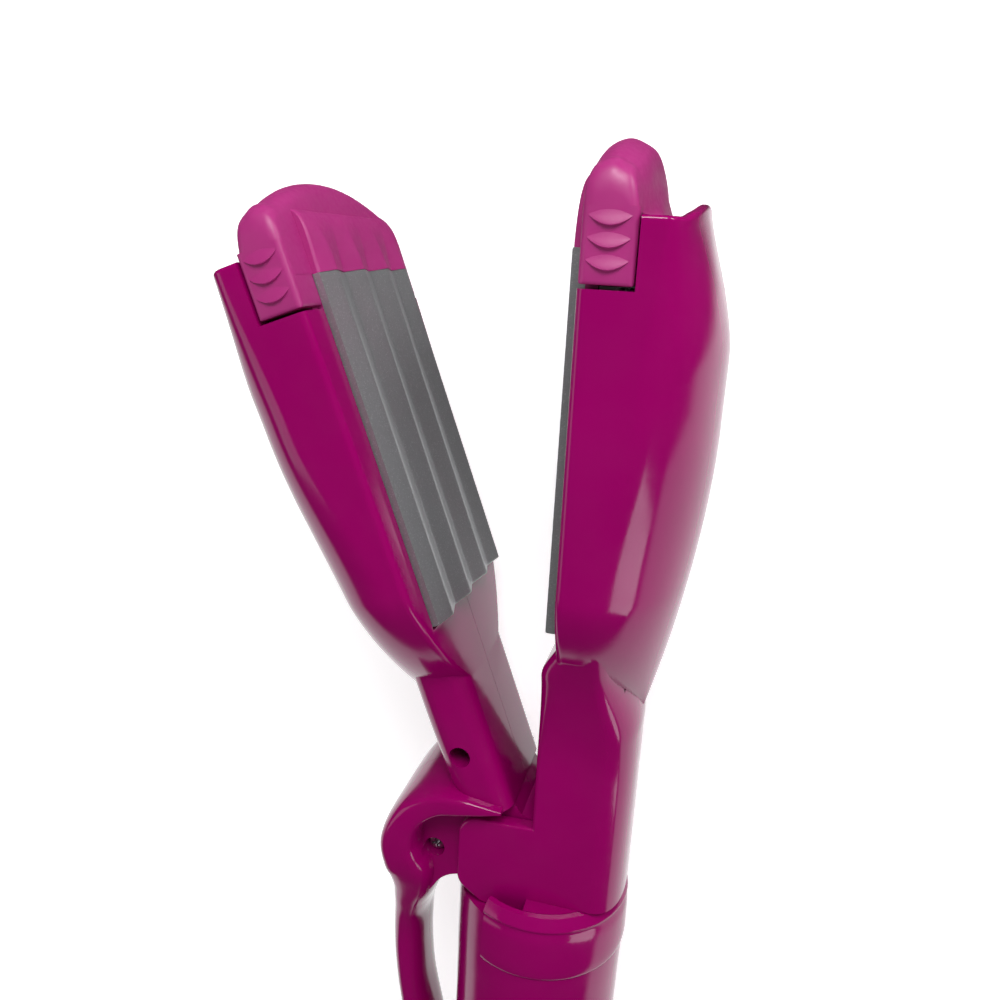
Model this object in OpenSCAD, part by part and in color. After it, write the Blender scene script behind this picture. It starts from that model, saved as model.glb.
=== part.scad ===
// Hair crimping iron: a round handle with a fixed arm, and a second arm on a hinge pin that a
// spring keeps shut and a finger lever opens. Each arm ends in a head that holds a hot plate,
// and a cartridge with a wavy plate slides onto each hot plate from the tip.
// Millimetres. The iron lies on its side: X is the closing direction, Y runs from the cord end
// to the tips, and Z is the hinge axis. Both arms are drawn in the shut position, the moving
// one mirrored, and the moving one is then turned open about the pin.

/* [Arms] */
// How far the moving arm stands open, degrees
open_angle = 21; // [0:0.5:22]
// Length of the crimping plate
plate_l = 66; // [60:1:66]
// Width of the crimping plate
plate_w = 38.7; // [34:0.1:38.8]
// Height of one crimp, ridge to valley
crimp_h = 1.5; // [0.8:0.1:1.8]
// Half width of a head where its plate begins
head_w = 25.5; // [25.2:0.1:26]
// How much a head widens towards its tip, per millimetre
head_taper = 0.0258; // [0:0.001:0.03]
// Wall of the moulded shells
wall = 2.3; // [2:0.1:2.5]

/* [Handle] */
// Radius of the round handle at its middle
handle_r = 17.7; // [17.5:0.1:17.8]
// Distance from the plate's lower end back to the end cap
handle_end = 186; // [176:1:200]
// Radius of the hinge pin
pin_r = 2.5; // [2:0.1:2.8]
// Radius of the bore that the cord goes through
cord_bore_r = 3.2; // [2.5:0.1:3.6]

/* [Finish] */
// Glossy shells
shell_colour = "#96006a"; // [#96006a, #303036, #1f5fa8]
// Satin cartridges
carrier_colour = "#c83c91"; // [#c83c91, #55555c, #4f8fd0]
// Crimping plates
plate_colour = "#8a8c90"; // [#8a8c90, #6b6258, #4a4c50]

/* [Hidden] */

// Origin: middle of the bounding box from above, lowest point of the iron
origin_shift = [19.58, 57.75, 27.75];
// Place of the hinge pin, seen in the mirrored frame of the moving arm
pin_x = 5.465;
pin_y = -53.19;
// Inner face of a head, measured from the plane on which the plates shut
face_x = 1.95;
// Half the gap between the shut plates
shut_gap = 0.2;
eps = 0.05;
big = 400;
steel = "#b9bbc0";
brass = "#b08d4a";

// Head: heights along the arm
head_bottom = -21;
head_top = 71;
rebate_y = 60.05;
rebate_x = 10.85;
// Axis of the handle
handle_x = -0.5;
// Neck of the fixed arm
neck_w = 13;
neck_crown = 17.5;
neck_face = -1.5;
neck_end = -62.5;
// Web of the moving arm, which turns between the cheeks
web_z = 9.7;
cheek_z = 10;
hub_r = 8;

function clamp01(t) = min(1, max(0, t));
function smooth(t) = let (u = clamp01(t)) u * u * (3 - 2 * u);
function steps(a, b, n) = [for (i = [0:n]) a + (b - a) * i / n];

// Half width of a head at height y: straight sides that close to a rounded point below
function head_half(y) =
  let (u = clamp01((8 - y) / (8 - head_bottom)))
  (head_w + head_taper * y) * pow(max(0, 1 - pow(u, 1.5)), 0.7);

// Distance of the head's back from the shut plane at height y
function head_crown(y) =
  25.5 - 8.3 * pow(max(0, (35 - y) / 56), 1.7) - 4.7 * smooth((y - 48) / 26);

// Distance at which the flat side of a head turns into its round back
function head_side(y) = 5.5 + 6.4 * smooth((y - 8) / 34) + 2.3 * smooth((y - 42) / 28);

// The back's top edge rises in an arch towards the middle, and leans in as it rises
function lip(p, y) =
  3 * smooth((y - 60) / 11) * max(0, 1 - pow(p[2] / 24, 2)) * smooth((p[0] - 14.8) / 2.6);
function lipped(p, y) = let (h = lip(p, y)) [p[0] - 0.5 * h, p[1] + h, p[2]];

// Half of a D section at height y, from the inner face round to the crown on the middle plane:
// x_in is the inner face, w the half width, x_s the end of the flat side, x_c the crown, r the
// radius of the inner edge, e the squareness of the back, and n the number of points on it
function half_d(y, x_in, w, x_s, x_c, r, e, n) = concat(
  [[x_in, y, 0], [x_in, y, w - r]],
  [for (a = [30, 60]) [x_in + r - r * cos(a), y, w - r + r * sin(a)]],
  [for (t = [0, 0.5, 1]) [x_in + r + (x_s - x_in - r) * t, y, w]],
  [for (i = [1:n]) let (a = 90 - 90 * i / n)
    [x_s + (x_c - x_s) * pow(cos(a), 2 / e), y, w * pow(sin(a), 2 / e)]]
);

// Closed solid through rings of equal length. Seen along the way from the first ring to the
// last, each ring runs clockwise. A hollow corner of a ring comes first.
module skin(rings) {
  n = len(rings[0]);
  m = len(rings);
  polyhedron(
    points = [for (r = rings) each r],
    faces = concat(
      [[for (j = [0:n - 1]) j]],
      [for (i = [0:m - 2]) for (j = [0:n - 1]) each
        let (a = i * n + j, b = i * n + (j + 1) % n)
        [[a, a + n, b + n], [a, b + n, b]]],
      [[for (j = [n:-1:1]) (m - 1) * n + j % n]]
    ),
    convexity = 8
  );
}

// Smooth curve through control points of any length, k steps between each pair
function curve(p, k) = concat(
  [for (i = [0:len(p) - 2]) for (j = [0:k - 1])
    let (
      a = p[max(0, i - 1)],
      b = p[i],
      c = p[i + 1],
      d = p[min(len(p) - 1, i + 2)],
      t = j / k
    )
    0.5 * (2 * b + (c - a) * t + (2 * a - 5 * b + 4 * c - d) * t * t
      + (3 * b - a - 3 * c + d) * t * t * t)],
  [p[len(p) - 1]]
);

function unit(v) = v / norm(v);

// Round tube of radius r along points p
module tube(p, r, n = 6) {
  skin([for (i = [0:len(p) - 1])
    let (
      d = unit(p[min(i + 1, len(p) - 1)] - p[max(i - 1, 0)]),
      u = unit(cross(d, abs(d[2]) < 0.9 ? [0, 0, 1] : [1, 0, 0])),
      v = cross(u, d)
    )
    [for (j = [0:n - 1]) let (a = -360 * j / n) p[i] + r * (cos(a) * u + sin(a) * v)]]);
}

// Box given by its lowest and highest corners
module block(a, b) {
  translate(a)
    cube(b - a);
}

// Moves a piece from the arm frame to the frame of the whole iron
module place() {
  translate(origin_shift)
    children();
}

// Moves a piece of the moving arm, drawn mirrored and shut, to its place with the arm open
module on_jaw() {
  place()
    translate([-pin_x, pin_y, 0])
      rotate([0, 0, open_angle])
        translate([pin_x, -pin_y, 0])
          mirror([1, 0, 0])
            children();
}

// Rod along Z
module rod(x, y, z0, z1, r, n = 48) {
  translate([x, y, z0])
    cylinder(h = z1 - z0, r = r, $fn = n);
}

// Turned piece about the handle's axis, from a profile of [radius, y] points
module turned(profile, from = 0, sweep = 360) {
  translate([handle_x, 0, 0])
    rotate([90, 0, 0])
      mirror([0, 0, 1])
        rotate([0, 0, from])
          rotate_extrude(angle = sweep, $fn = 96)
            polygon(profile);
}

// Outline of the near half of a head at height y, shrunk by s
function head_ring(y, s = 0) =
  half_d(y, face_x + s / 2, head_half(y) - s, head_side(y) - s / 2, head_crown(y) - s,
    min(1.2, head_half(y) / 3), 2, 12);

// Outer form of the near half of a head, flat on top inside its lip
module head_half_solid() {
  ys = concat([-20.98, -20.7, -20, -18.5], steps(-16.5, 8, 9), steps(13, 56, 7), steps(59, head_top, 6));
  skin(concat(
    [for (y = ys) [for (p = head_ring(y)) lipped(p, y)]],
    [head_ring(head_top, 1.5)]
  ));
}

// Space inside the near half of a head, behind the hot plate
module head_half_space() {
  ys = concat([-12, -8, -3, 2], steps(8, 67, 8));
  skin([for (y = ys)
    half_d(y, y > rebate_y - 3 ? rebate_x + 2 : 7.9, min(20.5, head_half(y) - 2.6),
      max(y > rebate_y - 3 ? rebate_x + 3 : 9, head_side(y) - 1), head_crown(y) - wall,
      0.6, 2, 8)]);
}

// What slides, sits and is wired inside the near half of a head, as one cut
module head_half_cuts() {
  // Opening for the wavy plate
  block([-5, -0.6, -1], [4.75, big, 19.8]);
  // Groove for the edges of the cartridge, stepped where the head narrows
  block([3, 1.6, -1], [4.75, big, 21.5]);
  block([3, -4.4, -1], [4.75, 2, 16.3]);
  // Seat of the hot plate, and of the latch below it
  block([4.7, 3.3, -1], [8, rebate_y + 1, 22.5]);
  block([4.7, -5.2, -1], [8.2, 3.4, 6.3]);
  // Corner that the cartridge's grip fills
  block([-5, rebate_y, -1], [rebate_x, big, 60]);
  head_half_space();
}

// Half of the fixed arm's neck. The inner face steps back where the moving neck shuts on it, and
// the side flares out into the head's side, under the bow of the head's back.
module fixed_neck_half() {
  ys = concat([neck_end, -34], steps(-30, -12, 6), steps(-10.5, -1.5, 4), [2]);
  skin([for (y = ys)
    let (flare = pow(clamp01((y + 34) / 36), 2), under = smooth((y + 24) / 16))
    half_d(y,
      face_x + (neck_face - face_x) * smooth((-1.5 - y) / 9.5) + 0.3 * clamp01((y + 1.5) / 3.5),
      neck_w + 10.3 * flare, 10.5 - 2.5 * under, neck_crown - 4 * under,
      1 + 2.5 * smooth((y + 32) / 20), 2.5, 10)]);
}

// Cheek that holds one end of the hinge pin
module cheek() {
  translate([0, 0, cheek_z])
    linear_extrude(neck_w - cheek_z)
      difference() {
        offset(r = 4, $fn = 40)
          offset(delta = -4)
            polygon([[-16.6, -46.3], [6, -45.6], [6, -66], [-11, -66], [-16.6, -62]]);
        translate([4, -80])
          square([20, 60]);
      }
}

// Radius of the handle at height y
function grip_r(y) = handle_r + 0.4 * pow((y + 135) / 52, 2);

// Half of the handle's tube, closed at the top and open at the cord end
module handle_tube_half() {
  outer = concat(
    [[0, neck_end], [17.9, neck_end], [18.15, -64], [18.15, -80]],
    [for (y = steps(-82.6, -handle_end, 12)) [grip_r(y), y]]
  );
  inner = [[15.2, -handle_end], [15.2, -69], [0, -69]];
  turned(concat(outer, inner), 0, 180);
}

// Ring-shaped space that the collar fills, on the side away from the lever
module collar_space(r_in, r_out, y0, y1, gap) {
  turned([[r_in, y0], [r_out, y0], [r_out, y1], [r_in, y1]], -120 - gap, 240 + 2 * gap);
}

// Near half of the fixed arm and handle, before its own holes
module handle_half() {
  difference() {
    union() {
      cheek();
      difference() {
        handle_tube_half();
        // The lever side starts lower, to let the web through
        block([-30, -66, -30], [neck_face, -50, 30]);
        collar_space(16.2, 30, -77.1, -50, 0.3);
      }
      difference() {
        union() {
          fixed_neck_half();
          head_half_solid();
        }
        head_half_cuts();
      }
    }
    // Wire duct through the neck
    block([2, -75, -1], [14, -3, 10.4]);
    // Pocket for the hub, and the blind hole for the pin
    rod(-pin_x, pin_y, -1, 10.1, 8.6, 96);
    rod(-pin_x, pin_y, 9, 12, pin_r);
  }
}

module handle_shell_near() {
  color(shell_colour)
    place()
      difference() {
        union() {
          handle_half();
          for (p = screw_places)
            screw_post(p[0], p[1], 0, p[2]);
        }
        // Recess and slot of the switch, and the window of the lamp
        block([-5, -110.5, 15.9], [5, -93.5, 30]);
        block([-2.2, -107.4, 8], [2.2, -96.6, 30]);
        rod(0, -88, 8, 30, 2);
        for (p = screw_places)
          rod(p[0], p[1], -1, 8, 1.2, 24);
      }
}

module handle_shell_far() {
  color(shell_colour)
    place()
      difference() {
        union() {
          mirror([0, 0, 1])
            handle_half();
          for (p = screw_places)
            screw_post(p[0], p[1], -p[2], 0);
        }
        for (p = screw_places) {
          rod(p[0], p[1], -30, 1, 1.6, 24);
          rod(p[0], p[1], -30, -7, 2.9, 32);
        }
      }
}

// Screws of the fixed shells, all driven from the far side: x, y and the wall's height there
screw_places = [[10.5, -30, 11.5], [0, -72.4, 16], [0, -160, 16]];

module screw_post(x, y, z0, z1) {
  rod(x, y, z0, z1, 3.6, 40);
}

// Screw along Z with a cross recess in its head, which faces down
module shell_screw(x, y, z_head, length, r = 2.6) {
  difference() {
    union() {
      rod(x, y, z_head, z_head + 2, r, 32);
      rod(x, y, z_head, z_head + length, 1.15, 24);
    }
    for (a = [0, 90])
      translate([x, y, z_head])
        rotate([0, 0, a])
          block([-0.6 * r, -0.3, -1], [0.6 * r, 0.3, 1]);
  }
}

module shell_screws() {
  color(steel)
    place()
      for (p = screw_places)
        shell_screw(p[0], p[1], -9, 16);
}

// C-shaped band round the top of the handle
module collar_ring() {
  color(shell_colour)
    place()
      turned([[16.25, -77], [18.3, -77], [18.6, -76.3], [18.7, -74], [18.5, -68], [18.1, -65.8],
        [18.4, -65.2], [18.2, -64.7], [17.1, -62.7], [16.25, -62.6]], -120, 240);
}

module pivot_pin() {
  color(steel)
    place()
      rod(-pin_x, pin_y, -12, 12, pin_r - 0.02, 64);
}

// Torsion spring round the pin: five turns and a short leg
spring_turns = 5;
spring_r = 4.6;
spring_pitch = 1.5;

module closing_spring() {
  coil = [for (i = [0:14 * spring_turns])
    let (a = 360 * i / 14)
    [spring_r * cos(a), spring_r * sin(a), spring_pitch * (i / 14 - spring_turns / 2)]];
  leg = [for (s = [1.2, 2.2]) [spring_r, s, spring_pitch * spring_turns / 2]];
  color(steel)
    place()
      translate([-pin_x, pin_y, 0])
        tube(concat(coil, leg), 0.55);
}

// Arm internals, shared by both heads
module heater_plate() {
  color("#9b9da1")
    difference() {
      block([4.85, 3.5, -22.4], [7.95, rebate_y + 0.4, 22.4]);
      for (y = [9, 54])
        for (z = [-19.5, 19.5])
          translate([4, y, z])
            rotate([0, 90, 0])
              cylinder(h = 5, r = 1.3, $fn = 24);
    }
}

module heater_element() {
  color("#c98a3a")
    block([8, 10, -9], [10.4, 50, 9]);
}

module heater_clip() {
  color(steel)
    translate([0, 18, 0])
      rotate([-90, 0, 0])
        linear_extrude(24)
          polygon([[10.45, 9.6], [10.45, -9.6], [8, -12], [8, -18], [8.7, -18], [8.7, -12.4],
            [11.15, -10], [11.15, 10], [8.7, 12.4], [8.7, 18], [8, 18], [8, 12]]);
}

module latch_spring() {
  color(brass)
    union() {
      block([5.6, -4.8, -5], [6.1, 3.2, 5]);
      translate([5.6, -1.6, -3])
        cylinder(h = 6, r = 0.7, $fn = 32);
    }
}

// Two insulated wires, mirrored about the middle plane
module wire_pair(points) {
  color("#d8d8d2")
    for (s = [-1, 1])
      tube([for (p = curve(points, 3)) [p[0], p[1], s * p[2]]], 0.8);
}

module fixed_heater_plate() {
  place()
    heater_plate();
}

module fixed_heater_element() {
  place()
    heater_element();
}

module fixed_heater_clip() {
  place()
    heater_clip();
}

module thermal_fuse() {
  color("#d9d2c0")
    place()
      rod(13.3, 24, -6, 6, 2.1, 40);
}

module fixed_lead_wires() {
  place()
    wire_pair([[9.3, 9.9, 5], [9.6, 5, 5], [10, -8, 5], [6, -20, 6], [6, -48, 6], [7, -64, 5],
      [7, -76, 4.5], [6, -83.9, 6.8]]);
}

module fixed_latch_spring() {
  place()
    latch_spring();
}

module jaw_heater_plate() {
  on_jaw()
    heater_plate();
}

module jaw_heater_element() {
  on_jaw()
    heater_element();
}

module jaw_heater_clip() {
  on_jaw()
    heater_clip();
}

module jaw_thermostat() {
  color("#3a3a3e")
    on_jaw()
      translate([11.2, 30, 0])
        rotate([0, 90, 0])
          cylinder(h = 4, r = 5.5, $fn = 64);
}

module jaw_lead_wires() {
  on_jaw()
    wire_pair([[9.3, 9.9, 5], [9.6, 5, 5], [10, -8, 5], [7.5, -17, 5], [7, -24.5, 5.5]]);
}

module jaw_latch_spring() {
  on_jaw()
    latch_spring();
}

// Cartridge: the wavy plate and the moulding that carries it

// Front of the wavy plate as [x, z] points. Its two long edges lie at different heights, so
// that the facing plate, turned round, drops into it.
crimp_start = 0.089;
crimp_pitch = plate_w / (3.5 - 2 * crimp_start);
function crimp_points(flip) = concat(
  [[-crimp_h / 2 + 2 * crimp_start * crimp_h, flip * plate_w / 2]],
  [for (k = [0:5]) [k % 2 == 0 ? crimp_h / 2 : -crimp_h / 2,
    flip * (plate_w / 2 - (0.5 - crimp_start + k / 2) * crimp_pitch)]],
  [[crimp_h / 2 - 2 * crimp_start * crimp_h, -flip * plate_w / 2]]
);
crimp_back = 2.1;

module crimp_plate(flip) {
  color(plate_colour)
    rotate([-90, 0, 0])
      linear_extrude(plate_l)
        polygon(concat(
          [for (p = crimp_points(flip)) [shut_gap - p[0], -p[1]]],
          [[crimp_back, flip * plate_w / 2], [crimp_back, -flip * plate_w / 2]]
        ));
}

// Height of the tip at depth z: a flat arch with round corners
tip_corner = 4.5;
function tip_top(z) =
  let (side = grip_z - tip_corner)
  84 - pow(min(abs(z), side), 2) / 104
    - tip_corner + sqrt(tip_corner * tip_corner - pow(max(0, abs(z) - side), 2));

// Outline of the tip at depth z in x and y, shrunk by s at its rim. Its back ends on the head's
// top and is narrower by n at the sides. Its front runs on down between the grips.
tip_base = 71.2;
tip_foot = plate_l + 0.1;
function tip_ring(z, s) =
  let (
    t = tip_top(z) - s,
    k = min(1, (t - tip_base - 0.1) / 9.6),
    n = 1 - smooth((grip_z - abs(z)) / 12)
  )
  [for (p = [[9.2, tip_base], [9.2, tip_foot], [2 + s, tip_foot], [2 + s, t - 6],
      [2.05 + s, t - 4.3], [2.4 + s, t - 2.3], [3.5 + s / 2, t - 0.8], [5.8, t],
      [8.1 - 0.6 * n - s / 2, t - 0.8 * k], [9.7 - 0.9 * n - s, t - 1.9 * k],
      [10.6 - n - s, t - 4.1 * k], [11.2 - 1.1 * n - s, t - 7 * k],
      [12 - 1.6 * n - s, t - 9.4 * k], [13 - 2.4 * n - s, tip_base]])
    [p[0], p[1], z]];

grip_z = 27;
module carrier(flip) {
  rim = [[26.95, 1.3], [26.6, 0.65], [26, 0.25], [24.8, 0]];
  color(carrier_colour)
    difference() {
      union() {
        // Tongue behind the wavy plate, with thinner edges that run in the head's grooves
        block([crimp_back, 0, -19.3], [4.45, 63, 19.3]);
        block([3.2, 2, -21.2], [4.45, 63, 21.2]);
        block([3.2, -4, -16], [4.45, 2.1, 16]);
        // Block between the two grips
        block([2.3, 61.5, -24], [9.8, tip_base + 1, 24]);
        // The plate's wave runs out on a panel that stands proud of the tip
        skin([for (u = [0, 0.3, 0.55, 0.75, 0.9, 0.98])
          [for (p = tip_wave(flip, u)) [p[0], plate_l + 11.4 * u, p[1]]]]);
        // Rounded tip
        skin(concat(
          [for (r = rim) tip_ring(r[0], r[1])],
          [for (z = steps(22, -22, 12)) tip_ring(z, 0)],
          [for (i = [3:-1:0]) tip_ring(-rim[i][0], rim[i][1])]
        ));
        for (s = [-1, 1])
          grip(s);
      }
      // Hollow inside the tip, open towards the head
      block([5, 60, -18], [8.9, 76, 18]);
    }
}

// Section of the panel on the tip, u from 0 at the plate to 1 at the panel's top
function tip_wave(flip, u) =
  let (
    a = sqrt(max(0, 1 - pow(u, 5))),
    b = 1 - 0.94 * smooth(1.1 * u),
    f = [for (p = crimp_points(flip)) [2.6 - (2.6 - shut_gap) * a - p[0] * b, p[1]]]
  )
  flip > 0
    ? concat([for (i = [len(f) - 1:-1:0]) f[i]], [[4, plate_w / 2], [4, -plate_w / 2]])
    : concat(f, [[4, plate_w / 2], [4, -plate_w / 2]]);

// Grip on one side of the cartridge, with three lens-shaped finger ridges that rise slowly from
// above and drop steeply below
ridge_ys = [70.2, 67, 63.8];
module grip(s) {
  mirror([0, 0, s < 0 ? 1 : 0]) {
    skin([for (p = [[61.3, 0.4], [61.9, 0], [tip_base + 0.85, 0]])
      [[2.04 + p[1], p[0], 19.6], [2.04 + p[1], p[0], grip_z - 1.1], [3.1, p[0], grip_z - p[1]],
        [9.4, p[0], grip_z - p[1]], [10.4 - p[1], p[0], grip_z - 0.9],
        [10.4 - p[1], p[0], 19.6]]]);
    for (y = ridge_ys)
      skin([for (t = steps(-0.94, 0.94, 6))
        let (x = 6.3 + 3.3 * t, m = y + 0.5 * t * t, c = 1 - t * t)
        [[x, m + 1.6 * c, grip_z - 0.5], [x, m + 1.3 * c, grip_z + 0.1 * c],
          [x, m - 0.6 * c, grip_z + 0.7 * c], [x, m - 0.9 * c, grip_z + 0.75 * c],
          [x, m - 1.2 * c, grip_z - 0.5]]]);
  }
}

module fixed_crimp_plate() {
  place()
    crimp_plate(-1);
}

module fixed_carrier() {
  place()
    carrier(-1);
}

module jaw_crimp_plate() {
  on_jaw()
    crimp_plate(1);
}

module jaw_carrier() {
  on_jaw()
    carrier(1);
}

// Moving arm: hook and lever as a band swept along a curve. Each control point gives x, y, half
// the band's thickness and half its depth.
band = curve([
  [3.5, -42.4, 0.6, 15], [7.5, -41.1, 1.75, 15.3], [11.9, -39.7, 2.65, 15.5],
  [17, -38.8, 3.05, 15.5], [22.2, -39.9, 3.45, 15.5], [26, -42.6, 3.85, 15.5],
  [28.7, -46.5, 4.4, 15.4], [29.6, -50.7, 4.9, 14.9], [30, -54.9, 5.6, 13.7],
  [31.9, -59.6, 5.2, 11.8], [35, -64.6, 4.3, 9.7], [37.8, -69.5, 3.75, 7.9],
  [40.2, -75.2, 3.75, 6.9], [42.4, -81.7, 3.65, 6.8], [44.6, -90.1, 3.5, 6.8],
  [46.3, -100.1, 3.6, 6.8], [47.5, -110, 3.6, 6.6], [48.1, -117, 3.4, 6]
], 2);
lever_start = 25;
lever_skin = 0.9;

// Half section of the band at point i, thinned by t, from the inner side over the near side
function band_ring(i, t, half = true) =
  let (
    p = band[i],
    q = band[min(i + 1, len(band) - 1)] - band[max(i - 1, 0)],
    d = unit([q[0], q[1], 0]),
    side = cross(d, [0, 0, 1]),
    e = 5 - 2.6 * smooth((i - 11) / 11),
    last = half ? 0 : -180 + 15
  )
  [for (a = [180:-15:last])
    [p[0], p[1], 0]
      + side * (p[2] - t) * sign(cos(a)) * pow(abs(cos(a)), 2 / e)
      + [0, 0, 1] * (p[3] - t) * sign(sin(a)) * pow(abs(sin(a)), 2 / e)];

// Web between the band and the hub
module web_outline() {
  translate([pin_x, pin_y])
    circle(r = hub_r, $fn = 96);
  polygon([[2.4, -42.5], [8, -40.8], [17, -39.5], [22, -40.4], [26, -42.6], [28.9, -46.4],
    [30, -50.5], [30.9, -54.6], [32.6, -59.2], [33.5, -63], [31, -64], [27.7, -61],
    [24.2, -58.6], [20.4, -58], [14, -59.4], [7, -61], [pin_x, pin_y], [1.5, -46.3]]);
}

module jaw_neck_half() {
  skin([for (y = [-43, -36, -28, -20, -12, -4, 6])
    half_d(y, face_x, 13.5, 8.6, 16 - 0.4 * smooth((-20 - y) / 16), 3.4, 2.3, 10)]);
}

module jaw_half() {
  difference() {
    union() {
      difference() {
        union() {
          difference() {
            union() {
              head_half_solid();
              jaw_neck_half();
            }
            head_half_cuts();
          }
          skin(concat(
            [for (i = [0:lever_start]) band_ring(i, 0)],
            [for (i = [lever_start:len(band) - 1]) band_ring(i, lever_skin)]
          ));
        }
        // Clearance for the cheek
        rod(pin_x + 2.2, pin_y - 0.3, web_z, 30, 10.8, 96);
      }
      linear_extrude(web_z)
        web_outline();
    }
    // Wire duct through the neck
    block([4, -37, -1], [12.6, -3, 9.8]);
    // Bore of the hub, seats of the bushes and pocket of the spring
    rod(pin_x, pin_y, -1, 30, pin_r + 1, 64);
    rod(pin_x, pin_y, -1, 5.3, 6.1, 64);
  }
}

// Screws of the moving shells, driven from the near side
jaw_screw_places = [[8.7, -29.7, 13.5, 9], [23, -51, web_z, 8.2]];

module jaw_shell_near() {
  color(shell_colour)
    on_jaw()
      difference() {
        union() {
          jaw_half();
          rod(8.7, -29.7, 0, 11, 4.2, 40);
        }
        for (p = jaw_screw_places) {
          rod(p[0], p[1], -1, 30, 1.4, 24);
          rod(p[0], p[1], p[3] - 2, 30, 2.2, 40);
        }
      }
}

module jaw_shell_far() {
  color(shell_colour)
    on_jaw()
      difference() {
        union() {
          mirror([0, 0, 1])
            jaw_half();
          rod(8.7, -29.7, -11, 0, 4.2, 40);
        }
        for (p = jaw_screw_places)
          rod(p[0], p[1], -7, 1, 1.2, 24);
      }
}

module jaw_screws() {
  color(steel)
    on_jaw()
      for (p = jaw_screw_places)
        mirror([0, 0, 1])
          shell_screw(p[0], p[1], -p[3], 14, 2.1);
}

// Finger pad: a sleeve over the end of the lever
module lever_pad() {
  color(shell_colour)
    on_jaw()
      difference() {
        skin(concat(
          [for (i = [lever_start:len(band) - 1]) band_ring(i, 0, false)],
          pad_end()
        ));
        skin([for (i = [lever_start - 1:len(band) - 1]) band_ring(i, lever_skin - eps, false)]);
      }
}

// Round end of the pad
function pad_end() =
  let (
    n = len(band) - 1,
    q = band[n] - band[n - 1],
    d = unit([q[0], q[1], 0]),
    r = band_ring(n, 0, false),
    c = [band[n][0], band[n][1], 0]
  )
  [for (a = [30, 60, 80]) [for (p = r) c + (p - c) * cos(a) + d * 3 * sin(a)]];

module pivot_bushes() {
  color(brass)
    on_jaw()
      for (s = [0, 1])
        mirror([0, 0, s])
          difference() {
            rod(pin_x, pin_y, 5.4, web_z, pin_r + 0.98, 64);
            rod(pin_x, pin_y, 5, 10, pin_r + 0.05, 64);
          }
}

// Inside the handle
module control_board() {
  color("#2f6b3c")
    place()
      block([-9, -150, 5.4], [9, -84, 7]);
}

module power_led() {
  color("#d02020")
    place()
      rod(0, -88, 7, 14.6, 1.5, 32);
}

module led_lens() {
  color("#f2d8d8")
    place()
      rod(0, -88, 14.8, 18.3, 1.95, 40);
}

module switch_block() {
  color("#26262a")
    place()
      difference() {
        block([-3.6, -111, 7], [3.6, -93, 12]);
        block([-2.2, -107.4, 9], [2.2, -96.6, 13]);
      }
}

module switch_knob() {
  color("#55103c")
    place()
      union() {
        block([-1.8, -107, 9.6], [1.8, -103, 16.5]);
        block([-4.6, -110, 16.25], [4.6, -100, 18.3]);
        for (y = [-108, -105, -102])
          translate([-4.2, y, 18.3])
            rotate([0, 90, 0])
              cylinder(h = 8.4, r = 0.6, $fn = 24);
      }
}

module end_cap() {
  y0 = -handle_end;
  r0 = grip_r(y0);
  color(shell_colour)
    place()
      turned(concat(
        [[9.2, y0 + 4], [15.1, y0 + 4], [15.1, y0], [r0, y0 - 0.05]],
        [for (a = [15:15:75]) [9.5 + (r0 - 9.5) * cos(a), y0 - 10 * sin(a)]],
        [[9.5, y0 - 10], [6.5, y0 - 10], [6.5, y0 - 2], [9.2, y0 - 2]]
      ));
}

module swivel_retainer() {
  y0 = -handle_end;
  color("#3a3a3e")
    place()
      turned([[4.4, y0 + 1.6], [9.1, y0 + 1.6], [9.1, y0 + 4], [4.4, y0 + 4]]);
}

// Bush that turns with the cord; only its bore shows where the cord goes in
module cord_bush() {
  y0 = -handle_end;
  color("#33121f")
    place()
      turned([[cord_bore_r, y0 + 1.3], [8.8, y0 + 1.3], [8.8, y0 - 1.7], [6.15, y0 - 1.7],
        [6.15, y0 - 12], [5.4, y0 - 13.5], [cord_bore_r, y0 - 13.5]]);
}

handle_shell_near();
handle_shell_far();
collar_ring();
pivot_pin();
closing_spring();
fixed_heater_plate();
fixed_heater_element();
fixed_heater_clip();
thermal_fuse();
fixed_lead_wires();
fixed_latch_spring();
control_board();
power_led();
led_lens();
switch_block();
end_cap();
swivel_retainer();
shell_screws();
switch_knob();
cord_bush();
jaw_shell_near();
jaw_shell_far();
lever_pad();
pivot_bushes();
jaw_heater_plate();
jaw_heater_element();
jaw_heater_clip();
jaw_thermostat();
jaw_lead_wires();
jaw_latch_spring();
jaw_screws();
fixed_carrier();
fixed_crimp_plate();
jaw_carrier();
jaw_crimp_plate();
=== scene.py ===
"""Looks of the hair crimping iron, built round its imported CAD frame.

Lengths in the formulas are millimetres in the arm frame of the CAD source: X is the closing
direction, Y runs from the cord end to the tips, Z is the hinge axis. The moving arm is worked out
mirrored and shut, and to_iron() turns it open. Meshes end up in metres in the iron's frame.
"""

from math import radians

import bpy
import numpy as np
from bpy.props import FloatProperty, FloatVectorProperty, PointerProperty
from bpy.types import Operator, Panel, PropertyGroup
from mathutils import Matrix, Vector


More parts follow.
